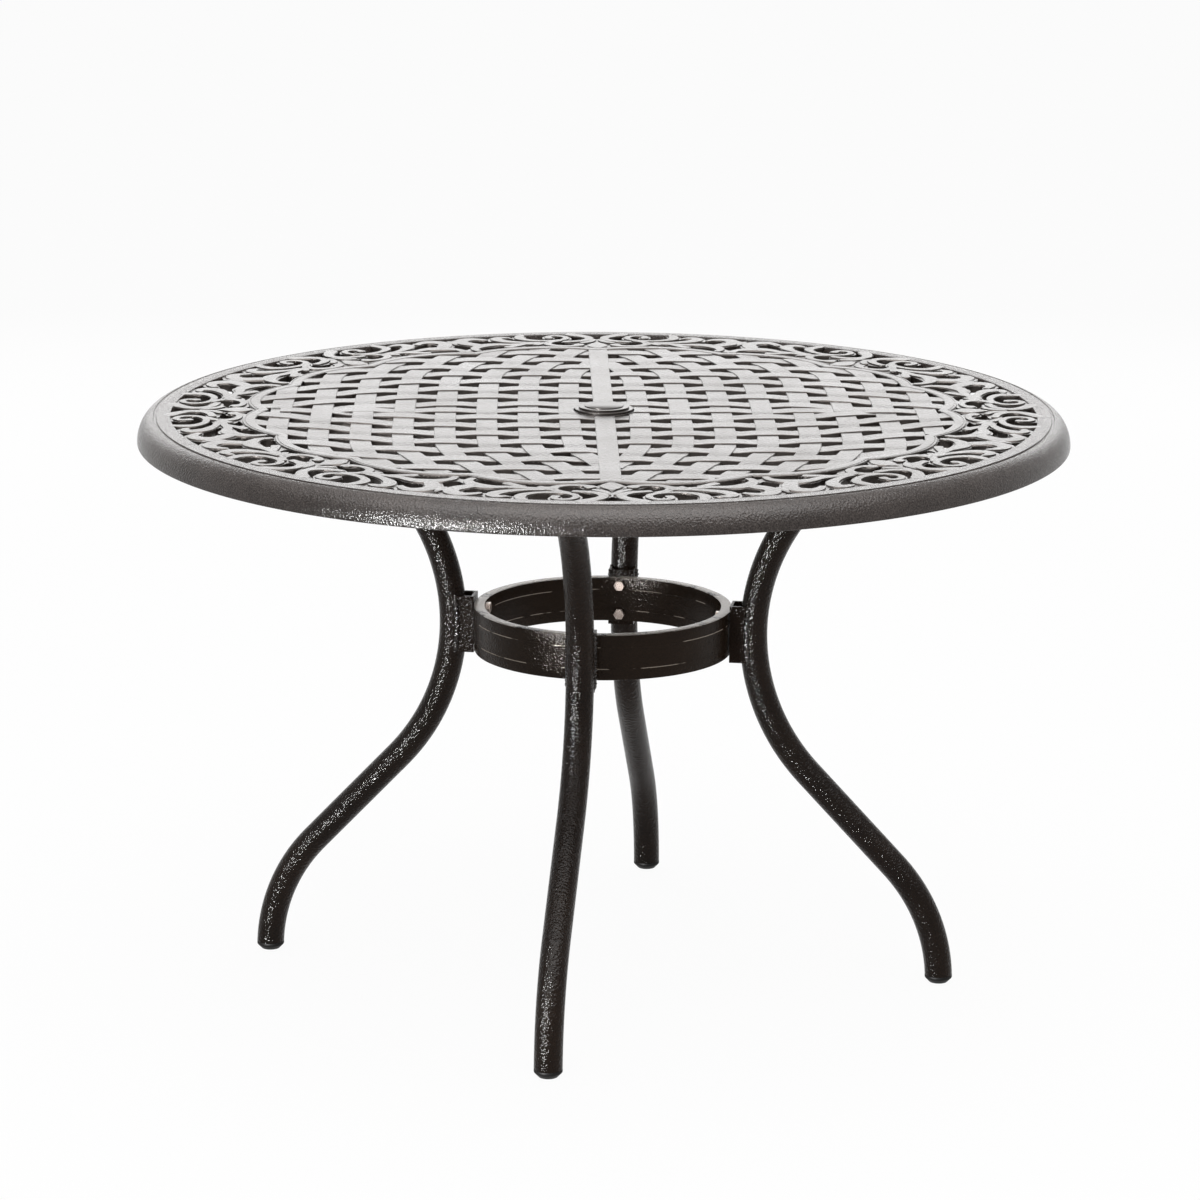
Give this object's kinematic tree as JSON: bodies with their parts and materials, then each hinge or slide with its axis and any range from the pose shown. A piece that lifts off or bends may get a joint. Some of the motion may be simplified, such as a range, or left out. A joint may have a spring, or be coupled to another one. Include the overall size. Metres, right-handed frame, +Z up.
{
  "type": "umbrella table",
  "caption": "Round metal patio table with a pierced scroll border, a basket-weave top, an umbrella hole with a lift-out plug, and bent tube legs tied by a ring.",
  "frame": {"origin": "on the floor, on the table's vertical axis", "axes": "+Z up; X along one cross band of the woven top, Y along the other; +Y away from the viewer in the picture"},
  "size_m": [1.2, 1.2, 0.7564],
  "materials": {
    "cast_bronze": "hammered dark bronze powder coat on cast aluminium, semi-gloss",
    "tube_bronze": "dark bronze powder coat with a light hammered texture on aluminium, semi-gloss",
    "bronze_plastic": "dark bronze moulded plastic, satin",
    "foot_plastic": "black moulded plastic, matt",
    "bright_steel": "bright zinc-plated steel"
  },
  "bodies": {
    "table": {"table_top": "cast_bronze", "umbrella_ring": "bronze_plastic", "leg_ring": "tube_bronze", "leg_right": "tube_bronze", "leg_plate_right": "tube_bronze", "ring_bracket_right": "tube_bronze", "foot_cap_right": "foot_plastic", "plate_bolt_right_1": "bright_steel", "ring_bolt_right_1": "bright_steel", "ring_nut_right_1": "bright_steel", "plate_bolt_right_2": "bright_steel", "ring_bolt_right_2": "bright_steel", "ring_nut_right_2": "bright_steel", "leg_back": "tube_bronze", "leg_plate_back": "tube_bronze", "ring_bracket_back": "tube_bronze", "foot_cap_back": "foot_plastic", "plate_bolt_back_1": "bright_steel", "ring_bolt_back_1": "bright_steel", "ring_nut_back_1": "bright_steel", "plate_bolt_back_2": "bright_steel", "ring_bolt_back_2": "bright_steel", "ring_nut_back_2": "bright_steel", "leg_left": "tube_bronze", "leg_plate_left": "tube_bronze", "ring_bracket_left": "tube_bronze", "foot_cap_left": "foot_plastic", "plate_bolt_left_1": "bright_steel", "ring_bolt_left_1": "bright_steel", "ring_nut_left_1": "bright_steel", "plate_bolt_left_2": "bright_steel", "ring_bolt_left_2": "bright_steel", "ring_nut_left_2": "bright_steel", "leg_front": "tube_bronze", "leg_plate_front": "tube_bronze", "ring_bracket_front": "tube_bronze", "foot_cap_front": "foot_plastic", "plate_bolt_front_1": "bright_steel", "ring_bolt_front_1": "bright_steel", "ring_nut_front_1": "bright_steel", "plate_bolt_front_2": "bright_steel", "ring_bolt_front_2": "bright_steel", "ring_nut_front_2": "bright_steel"},
    "umbrella_plug": {"umbrella_plug": "bronze_plastic"}
  },
  "joints": [
    {"name": "plug_lift", "type": "slide", "parent": "table", "child": "umbrella_plug", "axis": [0, 0, 1], "range_m": [0, 0.06]}
  ]
}
